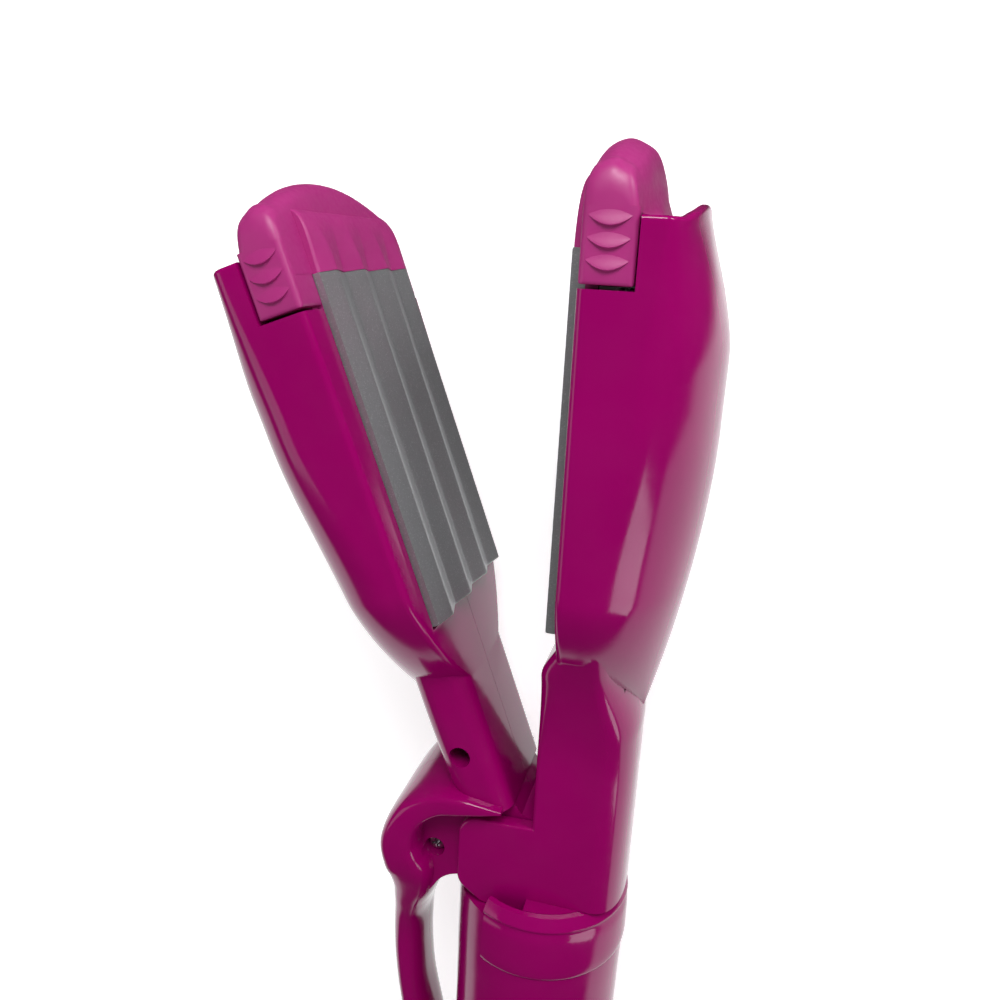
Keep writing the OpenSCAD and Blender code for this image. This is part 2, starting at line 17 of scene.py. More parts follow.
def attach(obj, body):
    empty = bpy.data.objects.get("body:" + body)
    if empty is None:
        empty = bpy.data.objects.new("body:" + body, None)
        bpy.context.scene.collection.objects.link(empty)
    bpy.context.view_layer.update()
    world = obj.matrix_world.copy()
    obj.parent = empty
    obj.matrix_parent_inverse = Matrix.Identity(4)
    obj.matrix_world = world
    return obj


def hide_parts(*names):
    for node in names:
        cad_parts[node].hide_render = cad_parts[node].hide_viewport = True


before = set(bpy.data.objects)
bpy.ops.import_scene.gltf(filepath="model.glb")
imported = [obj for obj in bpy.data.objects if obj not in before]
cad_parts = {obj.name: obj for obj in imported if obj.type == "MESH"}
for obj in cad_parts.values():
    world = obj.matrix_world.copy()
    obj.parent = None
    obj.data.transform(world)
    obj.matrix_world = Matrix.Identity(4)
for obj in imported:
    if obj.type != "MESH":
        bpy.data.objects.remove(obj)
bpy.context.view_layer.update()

bl_info = {
    "name": "Hair crimping iron",
    "version": (1, 0, 0),
    "blender": (4, 5, 0),
    "location": "3D View > Sidebar > Crimping iron",
    "description": "Builds the shells, cartridges, plates and stage of a hair crimping iron",
    "category": "Object",
}

# Measures shared with the CAD source, in millimetres
SHIFT = np.array([19.58, 57.75, 27.75])
PIN, PIN_R = np.array([5.465, -53.19]), 2.5
OPEN_ANGLE = radians(21)
FACE_X = 1.95
SHUT_GAP = 0.2
HEAD_BOTTOM, HEAD_TOP = -21.0, 71.0
REBATE_Y, REBATE_X = 60.05, 10.85
WALL = 2.3
NECK_W, NECK_FACE, NECK_END = 13.0, -1.5, -62.5
WEB_Z, CHEEK_Z = 9.7, 10.0
HANDLE_X, HANDLE_END = -0.5, -186.0
PLATE_L, PLATE_W, PLATE_BACK = 66.0, 38.7, 2.1
CRIMP_H, CRIMP_START = 1.5, 0.089
CRIMP_PITCH = PLATE_W / (3.5 - 2 * CRIMP_START)
TONGUE_EDGE, TONGUE_BACK = 3.2, 4.45
GRIP_Z, GRIP_FRONT, GRIP_BACK = 27.0, 2.04, 10.6
TIP_BASE, TIP_FOOT, TIP_CORNER = 71.2, 66.1, 4.5
FAR = 400.0


# Arrays of points


def smooth(t):
    """Rises from 0 to 1 as t does, with level ends: 3 t squared minus 2 t cubed."""
    u = np.clip(t, 0, 1)
    return u * u * (3 - 2 * u)


def arc(start, end, count):
    """Angles in radians from start to end degrees."""
    return np.radians(np.linspace(start, end, count))


def to_iron(points, moving):
    """Arm frame in millimetres to the iron's frame in metres. The moving arm is mirrored in X,
    then turned open about the pin."""
    p = np.array(points, float)
    if moving:
        x, y = -p[:, 0] + PIN[0], p[:, 1] - PIN[1]
        c, s = np.cos(OPEN_ANGLE), np.sin(OPEN_ANGLE)
        p[:, 0] = c * x - s * y - PIN[0]
        p[:, 1] = s * x + c * y + PIN[1]
    return (p + SHIFT) / 1000


def skin(rings):
    """Closed form through an array of rings (rings, points, 3): four-sided faces between
    neighbours, and one flat face over each end."""
    m, n = rings.shape[:2]
    j = np.arange(n)
    start = (np.arange(m - 1) * n)[:, None]
    a, b = start + j, start + (j + 1) % n
    sides = np.stack([a, b, b + n, a + n], -1).reshape(-1, 4)
    ends = [list(range(n - 1, -1, -1)), list(range((m - 1) * n, m * n))]
    return rings.reshape(-1, 3), sides.tolist() + ends


def block(low, high):
    """Box between two corners, as a skin of two square rings."""
    (x0, y0, z0), (x1, y1, z1) = low, high
    ring = np.array([[x0, y0], [x1, y0], [x1, y1], [x0, y1]])
    return skin(np.stack([np.insert(ring, 2, z, axis=1) for z in (z0, z1)]))


def rod(x, y, z0, z1, r, n=96, edge=0.0):
    """Cylinder along Z: circles of radius r, with its two rims rounded off by edge."""
    a = np.linspace(0, 2 * np.pi, n, endpoint=False)
    circle = np.stack([np.cos(a), np.sin(a)], -1)
    rims = [(r, z0), (r, z1)]
    if edge:
        turn = arc(0, 90, 5)
        radius, rise = r - edge * (1 - np.sin(turn)), edge * (1 - np.cos(turn))
        rims = [*zip(radius, z0 + rise), *zip(radius[::-1], z1 - rise[::-1])]
    return skin(np.stack([np.column_stack([x + q * circle[:, 0], y + q * circle[:, 1],
                                           np.full(n, z)]) for q, z in rims]))


def turned(profile, start, end, n=181):
    """Profile of [radius, y] points carried round the handle's axis from start to end degrees,
    measured from X towards Z: x is the axis plus r cos a, z is r sin a."""
    p = np.asarray(profile, float)
    whole = abs(end - start) >= 360
    a = np.radians(np.linspace(start, end, n, endpoint=not whole))[:, None]
    rings = np.stack([HANDLE_X + p[:, 0] * np.cos(a), p[:, 1] + 0 * a, p[:, 0] * np.sin(a)], -1)
    if not whole:
        return skin(rings)
    m, k = rings.shape[:2]
    i, j = np.arange(m)[:, None], np.arange(k)
    faces = np.stack([i * k + j, i * k + (j + 1) % k, (i + 1) % m * k + (j + 1) % k,
                      (i + 1) % m * k + j], -1).reshape(-1, 4)
    return rings.reshape(-1, 3), faces.tolist()


def curve(points, steps):
    """Catmull-Rom curve through rows of numbers: cubic between each pair, with the slope at a row
    half the step between its neighbours."""
    p = np.asarray(points, float)
    q = np.vstack([p[0], p, p[-1]])
    t = np.linspace(0, 1, steps, endpoint=False)[:, None, None]
    a, b, c, d = q[:-3], q[1:-2], q[2:-1], q[3:]
    rows = 0.5 * (2 * b + (c - a) * t + (2 * a - 5 * b + 4 * c - d) * t ** 2
                  + (3 * b - a - 3 * c + d) * t ** 3)
    return np.vstack([rows.transpose(1, 0, 2).reshape(-1, p.shape[1]), p[-1]])


def rounded_outline(points, r, n=10):
    """Corners of a polygon replaced by arcs of radius r, each tangent to its two sides."""
    p = np.asarray(points, float)
    before, after = np.roll(p, 1, axis=0) - p, np.roll(p, -1, axis=0) - p
    u = before / np.linalg.norm(before, axis=1)[:, None]
    v = after / np.linalg.norm(after, axis=1)[:, None]
    half = np.arccos(np.clip((u * v).sum(1), -1, 1)) / 2
    middle = (u + v) / np.linalg.norm(u + v, axis=1)[:, None]
    centre = p + middle * (r / np.sin(half))[:, None]
    start = p + u * (r / np.tan(half))[:, None] - centre
    end = p + v * (r / np.tan(half))[:, None] - centre
    a0 = np.arctan2(start[:, 1], start[:, 0])
    da = (np.arctan2(end[:, 1], end[:, 0]) - a0 + np.pi) % (2 * np.pi) - np.pi
    a = a0[:, None] + da[:, None] * np.linspace(0, 1, n)
    return (centre[:, None, :] + r * np.stack([np.cos(a), np.sin(a)], -1)).reshape(-1, 2)


def prism(outline, z0, z1, edge=0.0):
    """Outline carried along Z, its top rim rounded off by edge along the outline's own normals."""
    p = np.asarray(outline, float)
    tangent = np.roll(p, -1, axis=0) - np.roll(p, 1, axis=0)
    normal = np.stack([tangent[:, 1], -tangent[:, 0]], -1)
    normal /= np.linalg.norm(normal, axis=1)[:, None]
    area = (p[:, 0] * np.roll(p[:, 1], -1) - p[:, 1] * np.roll(p[:, 0], -1)).sum()
    normal *= np.sign(area)
    levels = [(z0, 0.0), (z1, 0.0)]
    if edge:
        levels[1:] = [(z1 - edge + edge * np.sin(a), edge * (1 - np.cos(a)))
                      for a in arc(0, 90, 6)]
    return skin(np.stack([np.insert(p - inset * normal, 2, z, axis=1) for z, inset in levels]))


# Forms shared by both arms


def head_half(y):
    """Half width of a head: straight sides that close to a rounded point below."""
    u = np.clip((8 - y) / (8 - HEAD_BOTTOM), 0, 1)
    return (25.5 + 0.0258 * y) * np.maximum(0, 1 - u ** 1.5) ** 0.7


def head_crown(y):
    """Distance of a head's back from the shut plane."""
    return 25.5 - 8.3 * np.maximum(0, (35 - y) / 56) ** 1.7 - 4.7 * smooth((y - 48) / 26)


def head_side(y):
    """Distance at which a head's flat side turns into its round back."""
    return 5.5 + 6.4 * smooth((y - 8) / 34) + 2.3 * smooth((y - 42) / 28)


def half_d(y, x_in, w, x_s, x_c, r, e=2.0, n_back=36):
    """Half of a D section at each height y, one row of points a height: inner face at x_in, fillet
    of radius r, flat side at depth w up to x_s, and a superellipse of exponent e to the crown at
    x_c."""
    y, x_in, w, x_s, x_c, r = (v[:, None] for v in np.broadcast_arrays(
        *(np.asarray(v, float) for v in (y, x_in, w, x_s, x_c, r))))
    f, s, b = arc(0, 90, 8), np.linspace(0, 1, 7)[1:-1], arc(90, 0, n_back)
    x = np.hstack([x_in, x_in + r - r * np.cos(f), x_in + r + (x_s - x_in - r) * s,
                   x_s + (x_c - x_s) * np.cos(b) ** (2 / e)])
    z = np.hstack([0 * x_in, w - r + r * np.sin(f), w + 0 * s, w * np.sin(b) ** (2 / e)])
    return np.stack([x, y + 0 * x, z], -1)


def head_rings(y, shrink):
    """Outline of half a head at each height, drawn in by shrink."""
    half = head_half(y)
    return half_d(y, FACE_X + shrink / 2, half - shrink, head_side(y) - shrink / 2,
                  head_crown(y) - shrink, np.minimum(1.2, half / 3))


def head_form():
    """Outside of half a head. Its back edge rises by 3 mm in an arch towards the middle and leans
    in as it rises, and the top rim is rounded off by 0.7 mm."""
    y = np.concatenate([-20.98 + 13 * np.linspace(0, 1, 16) ** 2, np.linspace(-7, 70.2, 72)])
    a = arc(12, 90, 7)
    inside = np.array([1.1, 1.4, 1.6, 1.7])
    heights = np.concatenate([y, HEAD_TOP - 0.7 + 0.7 * np.sin(a), np.full(4, HEAD_TOP)])
    shrink = np.concatenate([0 * y, 0.7 * (1 - np.cos(a)), inside])
    standing = np.concatenate([np.ones(len(y) + len(a)), [1, 0.9, 0.5, 0]])
    rings = head_rings(heights, shrink)
    x, z = rings[..., 0], rings[..., 2]
    rise = 3 * smooth((heights - 60) / 11)[:, None] * np.maximum(0, 1 - (z / 24) ** 2)
    rise *= smooth((x - 14.8) / 2.6) * standing[:, None]
    rings[..., 0] -= 0.5 * rise
    rings[..., 1] += rise
    return skin(rings)


def head_space():
    """Space in half a head behind its hot plate."""
    y = np.concatenate([[-12, -8, -3, 2], np.linspace(8, 67, 20)])
    high = y > REBATE_Y - 3
    return skin(half_d(
        y, np.where(high, REBATE_X + 2, 7.9), np.minimum(20.5, head_half(y) - 2.6),
        np.maximum(np.where(high, REBATE_X + 3, 9), head_side(y) - 1), head_crown(y) - WALL,
        0.6, n_back=14))


def head_cuts():
    """What slides, sits and is wired in half a head: opening for the wavy plate, stepped groove of
    the cartridge, seats of hot plate and latch, corner for the grip, and the space behind."""
    return [
        block([-5, -0.6, -1], [4.75, FAR, 19.8]),
        block([3, 1.6, -1], [4.75, FAR, 21.5]),
        block([3, -4.4, -1], [4.75, 2, 16.3]),
        block([4.7, 3.3, -1], [8, REBATE_Y + 1, 22.5]),
        block([4.7, -5.2, -1], [8.2, 3.4, 6.3]),
        block([-5, REBATE_Y, -1], [REBATE_X, FAR, 60]),
        head_space(),
    ]


# Making meshes


def outward(points, faces):
    """Faces turned so that the form's volume, summed over its triangles, is positive."""
    volume = 0.0
    for size in {len(f) for f in faces}:
        f = np.array([g for g in faces if len(g) == size])
        volume += (points[f[:, :1]] * np.cross(points[f[:, 1:-1]], points[f[:, 2:]])).sum()
    return faces if volume > 0 else [f[::-1] for f in faces]


def new_object(name, form):
    """Mesh object from (points, faces), with its faces outward."""
    points, faces = form
    mesh = bpy.data.meshes.new(name)
    mesh.from_pydata(points, [], outward(points, faces))
    made = bpy.data.objects.new(name, mesh)
    bpy.context.scene.collection.objects.link(made)
    return made


def bake(made):
    """Works the object's modifiers into its mesh."""
    graph = bpy.context.evaluated_depsgraph_get()
    mesh = bpy.data.meshes.new_from_object(made.evaluated_get(graph))
    old = made.data
    made.modifiers.clear()
    made.data = mesh
    mesh.name = old.name
    bpy.data.meshes.remove(old)


def combined(base, operation, forms):
    """Base joined with, or cut by, each form in turn."""
    tools = [f if isinstance(f, bpy.types.Object) else new_object("tool", f) for f in forms]
    for tool in tools:
        step = base.modifiers.new("step", "BOOLEAN")
        step.operation = operation
        step.object = tool
        step.solver = "MANIFOLD"
    bake(base)
    for tool in tools:
        mesh = tool.data
        bpy.data.objects.remove(tool)
        bpy.data.meshes.remove(mesh)
    if not base.data.polygons:
        raise RuntimeError(f"{base.name} came out empty")
    return base


def cut(base, *forms):
    """Base with the forms taken out of it."""
    return combined(base, "DIFFERENCE", forms)


def joined(base, *forms):
    """Base with the forms added to it."""
    return combined(base, "UNION", forms)


def mirrored_z(made):
    """The object's mesh mirrored in the middle plane, faces turned back outward."""
    made.data.transform(Matrix.Diagonal((1, 1, -1, 1)))
    made.data.flip_normals()
    return made


def finished(made, moving, body, material, node, smooth_angle=32):
    mesh = made.data
    co = np.empty(len(mesh.vertices) * 3, np.float32)
    mesh.vertices.foreach_get("co", co)
    mesh.vertices.foreach_set("co", to_iron(co.reshape(-1, 3), moving).astype(np.float32).ravel())
    if moving:
        mesh.flip_normals()
    mesh.update()
    mesh.polygons.foreach_set("use_smooth", np.ones(len(mesh.polygons), bool))
    mesh.set_sharp_from_angle(angle=radians(smooth_angle))
    mesh.materials.clear()
    mesh.materials.append(material)
    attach(made, body)
    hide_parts(node)


# Materials


class Tree:
    """Nodes of a material or the world, and short ways to add to them."""

    def __init__(self, tree):
        self.nodes, self.links = tree.nodes, tree.links

    def fill(self, socket, value):
        """Sets a socket to a number or colour, or joins it to another socket."""
        if isinstance(value, bpy.types.NodeSocket):
            self.links.new(value, socket)
        else:
            socket.default_value = value

    def add(self, kind, **inputs):
        """New node of a kind, with its inputs filled."""
        node = self.nodes.new("ShaderNode" + kind)
        for key, value in inputs.items():
            self.fill(node.inputs[key.replace("_", " ")], value)
        return node

    def math(self, operation, first, second):
        """Result of a sum or product of two values."""
        node = self.add("Math")
        node.operation = operation
        self.fill(node.inputs[0], first)
        self.fill(node.inputs[1], second)
        return node.outputs[0]

    def carried(self, value, source, target, shape="LINEAR"):
        """Value carried from one range to another, along a line or eased."""
        node = self.add("MapRange", Value=value, From_Min=source[0], From_Max=source[1],
                        To_Min=target[0], To_Max=target[1])
        node.interpolation_type = shape
        return node.outputs["Result"]

    def mixed(self, share, first, second):
        """Shader of the first node at share 0 and of the second at share 1."""
        node = self.add("MixShader", Fac=share)
        self.links.new(first.outputs[0], node.inputs[1])
        self.links.new(second.outputs[0], node.inputs[2])
        return node


# Where most of a noise's values lie
NOISE_MIDDLE = (0.35, 0.65)


class Finish(Tree):
    """A material with its shader."""

    def __init__(self, name, **sockets):
        self.material = bpy.data.materials.new(name)
        self.material.use_nodes = True
        super().__init__(self.material.node_tree)
        self.shader = self.nodes["Principled BSDF"]
        self.place = self.add("TexCoord").outputs["Object"]
        for key, value in sockets.items():
            self.shader.inputs[key.replace("_", " ")].default_value = value

    def noise(self, scale, detail, stretch=None):
        """Noise with features of about 1/scale metres, drawn out along the axes by stretch."""
        place = self.place
        if stretch:
            place = self.add("Mapping", Scale=stretch, Vector=place).outputs["Vector"]
        return self.add("TexNoise", Scale=scale, Detail=detail, Vector=place).outputs["Fac"]

    def speckle(self, scale):
        """One even random value for each small cell, 1/scale metres across."""
        cells = self.add("TexVoronoi", Scale=scale, Vector=self.place)
        return self.add("SeparateColor", Color=cells.outputs["Color"]).outputs["Red"]

    def colours(self, value, *stops):
        """Base colour from a ramp over value, with (position, colour) stops."""
        node = self.add("ValToRGB", Fac=value)
        ramp = node.color_ramp
        while len(ramp.elements) < len(stops):
            ramp.elements.new(0.5)
        for element, (position, colour) in zip(ramp.elements, stops):
            element.position = position
            element.color = (*colour, 1)
        self.links.new(node.outputs["Color"], self.shader.inputs["Base Color"])

    def rough(self, noise, low, high):
        """Roughness from low to high over the middle of a noise."""
        value = self.carried(noise, NOISE_MIDDLE, (low, high))
        self.links.new(value, self.shader.inputs["Roughness"])

    def bump(self, *layers):
        """Relief from (value, strength, depth in metres) layers, each on top of the last. Gives
        the finished material."""
        under = {}
        for value, strength, depth in layers:
            node = self.add("Bump", Strength=strength, Distance=depth, Height=value, **under)
            under = {"Normal": node.outputs["Normal"]}
        self.links.new(under["Normal"], self.shader.inputs["Normal"])
        return self.material


def shade(colour, factor):
    """Colour made darker or lighter by a factor."""
    return tuple(c * factor for c in colour)


def glossy_shell(name, colour):
    """Polished magenta moulding: faint flow marks and a slight orange peel."""
    f = Finish(name, Specular_IOR_Level=0.42)
    f.colours(f.noise(45, 4), (0.3, shade(colour, 0.95)), (0.7, shade(colour, 1.04)))
    f.rough(f.noise(160, 5), 0.1, 0.16)
    return f.bump((f.noise(420, 2), 0.04, 0.0002), (f.noise(2600, 2), 0.02, 0.00005))


def satin_moulding(name, colour):
    """Satin moulding with a fine spark-eroded grain."""
    f = Finish(name)
    f.colours(f.noise(60, 4), (0.3, shade(colour, 0.94)), (0.7, shade(colour, 1.05)))
    f.rough(f.noise(900, 3), 0.36, 0.46)
    return f.bump((f.noise(3200, 3), 0.1, 0.00006))


def sparkling_plate(name, colour):
    """Coated aluminium: even satin grey with a very fine grain and sparse small flakes."""
    f = Finish(name, Metallic=0.7, Specular_IOR_Level=0.5)
    flakes = f.speckle(5200)
    f.colours(flakes, (0.0, shade(colour, 0.93)), (0.9, shade(colour, 1.04)),
              (1.0, shade(colour, 1.3)))
    f.rough(f.noise(1400, 3), 0.36, 0.46)
    return f.bump((flakes, 0.03, 0.00004), (f.noise(5200, 2), 0.06, 0.00004))


def plain_metal(name, colour, rough):
    """Drawn or turned metal with fine lines along its length."""
    f = Finish(name, Metallic=1.0)
    f.colours(f.noise(220, 3), (0.3, shade(colour, 0.88)), (0.7, shade(colour, 1.05)))
    lines = f.noise(900, 3, (1, 0.05, 1))
    f.rough(lines, rough * 0.75, rough * 1.3)
    return f.bump((lines, 0.08, 0.00003))


def plain_plastic(name, colour, rough):
    """Moulded plastic or rubber with a fine grain."""
    f = Finish(name)
    f.colours(f.noise(120, 3), (0.3, shade(colour, 0.85)), (0.7, shade(colour, 1.12)))
    f.rough(f.noise(700, 3), rough * 0.85, rough * 1.15)
    return f.bump((f.noise(2400, 3), 0.14, 0.00006))


def light_window(name, colour):
    """Frosted window of the lamp."""
    f = Finish(name, Transmission_Weight=0.35, Subsurface_Weight=0.2, Subsurface_Scale=0.002)
    f.colours(f.noise(300, 2), (0.3, shade(colour, 0.95)), (0.7, colour))
    f.rough(f.noise(800, 2), 0.2, 0.32)
    return f.bump((f.noise(2400, 2), 0.05, 0.00004))


def circuit_board(name, colour):
    """Solder-masked board with paler tracks in long straight runs."""
    f = Finish(name)
    tracks = f.noise(350, 1, (1, 0.06, 1))
    f.colours(tracks, (0.42, colour), (0.5, shade(colour, 1.7)), (0.58, colour))
    f.rough(f.noise(500, 2), 0.28, 0.45)
    return f.bump((tracks, 0.2, 0.00005))


# Properties


def colour_setting(name, text, value):
    """Property for a colour."""
    return FloatVectorProperty(name=name, description=text, subtype="COLOR", size=3, min=0, max=1,
                               default=value)


class CrimperSizes(PropertyGroup):
    """Small sizes that the CAD leaves open"""

    seam: FloatProperty(name="Seam", description="Width of the joint between two shell halves",
                        default=0.0001, min=0, max=0.0004, unit="LENGTH", precision=5)
    ridge: FloatProperty(name="Finger ridge", description="Height of the oval ridges on the grips",
                         default=0.0006, min=0, max=0.001, unit="LENGTH", precision=5)
    crest: FloatProperty(name="Crest roundness", subtype="FACTOR", min=0.01, max=0.5, default=0.03,
                         description="How round the ridges and valleys of the crimping plates are")


class CrimperColours(PropertyGroup):
    """Colours of the outside"""

    shell: colour_setting("Shells", "Glossy shells, collar and finger lever", (0.3, 0.0, 0.115))
    carrier: colour_setting("Cartridges", "Satin cartridge mouldings", (0.39, 0.02, 0.18))
    plate: colour_setting("Crimping plates", "Coated wavy plates", (0.4, 0.41, 0.42))
    knob: colour_setting("Knob and bush", "Switch knob and cord bush", (0.09, 0.008, 0.045))


def sizes():
    """Sizes that are set in the scene."""
    return bpy.context.scene.crimper_sizes


def half_seam():
    """Half the seam's width in millimetres."""
    return 500 * sizes().seam


def tints():
    """Colours that are set in the scene."""
    return bpy.context.scene.crimper_colours


def shell_finish():
    """The shells' one material, made on its first use."""
    name = "glossy_shell"
    return bpy.data.materials.get(name) or glossy_shell(name, tuple(tints().shell))


# Fixed arm and handle


def grip_radius(y):
    """Radius of the handle below the collar: a parabola about the middle of the grip."""
    return 17.7 + 0.4 * ((y + 135) / 52) ** 2


def handle_form():
    """Half of the handle's outside: half discs from the shoulder to the cord end, straight under
    the collar and hollow below it."""
    shoulder = [NECK_END, -62.65, -63, -64, -70, -76, -80]
    y = np.concatenate([shoulder, np.linspace(-82.6, HANDLE_END, 50)])
    r = np.where(y > -81, 18.15, grip_radius(y))
    r[:3] = 17.5, 17.8, 18.0
    a = arc(0, 180, 121)
    return skin(np.stack([HANDLE_X + r[:, None] * np.cos(a), y[:, None] + 0 * a,
                          r[:, None] * np.sin(a)], -1))


def fixed_neck_form():
    """Half of the fixed arm's neck: a D section whose inner face steps back where the other neck
    shuts on it. Its side flares out into the head's side as the square of the height, under the
    bow of the head's back."""
    y = np.concatenate([[NECK_END, -48], np.linspace(-34, -12, 23), np.linspace(-11.5, 2, 28)])
    x_in = (FACE_X + (NECK_FACE - FACE_X) * smooth((-1.5 - y) / 9.5)
            + 0.3 * np.clip((y + 1.5) / 3.5, 0, 1))
    flare, under = np.clip((y + 34) / 36, 0, 1) ** 2, smooth((y + 24) / 16)
    return skin(half_d(y, x_in, NECK_W + 10.3 * flare, 10.5 - 2.5 * under, 17.5 - 4 * under,
                       1 + 2.5 * smooth((y + 32) / 20), 2.5))


def cheek_form():
    """Cheek over one end of the pin: a rounded plate with a soft rim."""
    outline = rounded_outline([[-16.6, -46.3], [6, -45.6], [6, -66], [-11, -66], [-16.6, -62]], 4)
    outline[:, 0] = np.minimum(outline[:, 0], 4)
    return prism(outline, CHEEK_Z, NECK_W, 0.6)


def sector(r_in, r_out, y0, y1, half):
    """Ring-shaped space on the side away from the lever, half degrees to either side of X."""
    return turned([[r_in, y0], [r_out, y0], [r_out, y1], [r_in, y1]], -half, half, 121)


# Places of the fixed shells' screws with the height of each one's post, and the level of the heads
SHELL_SCREWS = [(10.5, -30.0, 11.5), (0.0, -72.4, 16.0), (0.0, -160.0, 16.0)]
SHELL_SCREW_Z = -9.0
# Place of the indicator lamp along the handle
LAMP_Y = -88.0


def fixed_half(seam):
    """Half of the fixed shell on the near side of the middle plane."""
    tube = new_object("half", handle_form())
    bore = turned([[0.02, -69], [15.2, -69], [15.2, -FAR], [0.02, -FAR]], -5, 185, 121)
    cut(tube, bore, block([-30, -66, -30], [NECK_FACE, -50, 30]),
        sector(16.2, 30, -77.1, -50, 120.3))
    arm = cut(joined(new_object("arm", head_form()), fixed_neck_form()), *head_cuts())
    joined(tube, cheek_form(), arm)
    cut(tube, block([2, -75, -1], [14, -3, 10.4]), rod(-PIN[0], PIN[1], -1, 10.1, 8.6),
        rod(-PIN[0], PIN[1], 9, 12, PIN_R))
    joined(tube, *[rod(x, y, 0, top, 3.6) for x, y, top in SHELL_SCREWS])
    return cut(tube, block([-60, -FAR, -10], [60, FAR, seam]))


class CRIMPER_OT_fixed_shells(Operator):
    """Make both halves of the handle and fixed arm"""

    bl_idname = "crimper.fixed_shells"
    bl_label = "Handle and fixed arm"

    def execute(self, context):
        seam = half_seam()
        near = fixed_half(seam)
        near.name = "handle_and_arm_near"
        cut(near, block([-5, -110.5, 15.9], [5, -93.5, 30]),
            block([-2.2, -107.4, 8], [2.2, -96.6, 30]), rod(0, LAMP_Y, 8, 30, 2),
            *[rod(x, y, -1, 8, 1.2, 32) for x, y, _ in SHELL_SCREWS])
        finished(near, False, "handle", shell_finish(), "handle_shell_near")
        far = mirrored_z(fixed_half(seam))
        far.name = "handle_and_arm_far"
        for x, y, _ in SHELL_SCREWS:
            cut(far, rod(x, y, -30, 1, 1.6, 32), rod(x, y, -30, SHELL_SCREW_Z + 2, 2.9, 48))
        finished(far, False, "handle", shell_finish(), "handle_shell_far")
        return {"FINISHED"}


class CRIMPER_OT_collar(Operator):
    """Make the C-shaped collar round the top of the handle"""

    bl_idname = "crimper.collar"
    bl_label = "Collar"

    def execute(self, context):
        outer = curve([[18.2, -77], [18.55, -76.4], [18.7, -74.5], [18.65, -71], [18.5, -68],
                       [18.1, -65.9], [18.4, -65.3], [18.25, -64.7], [17.2, -62.8]], 4)
        profile = np.vstack([[16.25, -62.6], [16.25, -77], outer])
        collar = new_object("collar", turned(profile, -120, 120, 241))
        finished(collar, False, "handle", shell_finish(), "collar_ring", 40)
        return {"FINISHED"}


# Moving arm

# Hook and lever as a band along a curve: x, y, half the thickness and half the depth
BAND = np.array([
    [3.5, -42.4, 0.6, 15], [7.5, -41.1, 1.75, 15.3], [11.9, -39.7, 2.65, 15.5],
    [17, -38.8, 3.05, 15.5], [22.2, -39.9, 3.45, 15.5], [26, -42.6, 3.85, 15.5],
    [28.7, -46.5, 4.4, 15.4], [29.6, -50.7, 4.9, 14.9], [30, -54.9, 5.6, 13.7],
    [31.9, -59.6, 5.2, 11.8], [35, -64.6, 4.3, 9.7], [37.8, -69.5, 3.75, 7.9],
    [40.2, -75.2, 3.75, 6.9], [42.4, -81.7, 3.65, 6.8], [44.6, -90.1, 3.5, 6.8],
    [46.3, -100.1, 3.6, 6.8], [47.5, -110, 3.6, 6.6], [48.1, -117, 3.4, 6],
])
BAND_STEPS = 8
BAND_END = len(BAND) - 1
# Where the finger pad starts along the band, and its thickness
PAD_START = 12.5
PAD_SKIN = 0.9


def band_rings(start, end, thin, whole):
    """Sections of the band from one control point to another, whole or the near half, thinned by
    thin. Each is a superellipse across the curve, squarish along the hook and rounder along the
    lever. Also gives the curve's direction at each."""
    p = curve(BAND, BAND_STEPS)
    at = np.arange(len(p)) / BAND_STEPS
    step = np.gradient(p[:, :2], axis=0)
    d = step / np.linalg.norm(step, axis=1)[:, None]
    side = np.stack([d[:, 1], -d[:, 0], 0 * d[:, 0]], -1)
    e = (5 - 2.6 * smooth((2 * at - 11) / 11))[:, None]
    a = arc(180, -180, 97)[:-1] if whole else arc(180, 0, 49)
    across = (p[:, 2:3] - thin) * np.sign(np.cos(a)) * np.abs(np.cos(a)) ** (2 / e)
    up = (p[:, 3:4] - thin) * np.sign(np.sin(a)) * np.abs(np.sin(a)) ** (2 / e)
    up[:, np.abs(np.sin(a)) < 1e-9] = 0
    rings = side[:, None, :] * across[..., None]
    rings[..., :2] += p[:, None, :2]
    rings[..., 2] = up
    keep = (at >= start - 1e-6) & (at <= end + 1e-6)
    return rings[keep], d[keep]


def web_form():
    """Web between the band and the hub."""
    edge = curve(BAND[1:9, :2], 4)
    lower = curve([[31, -62], [27.7, -61], [24.2, -58.6], [20.4, -58], [14, -59.4]], 6)
    back = [[32.6, -59.2], [33, -62], *lower, [7, -61], PIN, [1.5, -46.3], [2.4, -42.5]]
    return prism(np.vstack([edge, back])[::-1], 0, WEB_Z)


def jaw_neck_form():
    """Half of the moving neck: a D section with a broad inner fillet."""
    y = np.linspace(-43, 6, 30)
    return skin(half_d(y, FACE_X, 13.5, 8.6, 16 - 0.4 * smooth((-20 - y) / 16), 3.4, 2.3))


def jaw_half(seam):
    """Half of the moving shell on the near side of the middle plane."""
    core = cut(joined(new_object("half", head_form()), jaw_neck_form()), *head_cuts())
    hook, _ = band_rings(0, PAD_START, 0, False)
    lever, _ = band_rings(PAD_START, BAND_END, PAD_SKIN, False)
    joined(core, skin(np.concatenate([hook, lever])))
    cut(core, rod(PIN[0] + 2.2, PIN[1] - 0.3, WEB_Z, 30, 10.8, 128))
    joined(core, web_form(), rod(PIN[0], PIN[1], 0, WEB_Z, 8, 128))
    cut(core, block([4, -37, -1], [12.6, -3, 9.8]), rod(PIN[0], PIN[1], -1, 30, 3.5),
        rod(PIN[0], PIN[1], -1, 5.3, 6.1))
    return cut(core, block([-60, -FAR, -10], [90, FAR, seam]))


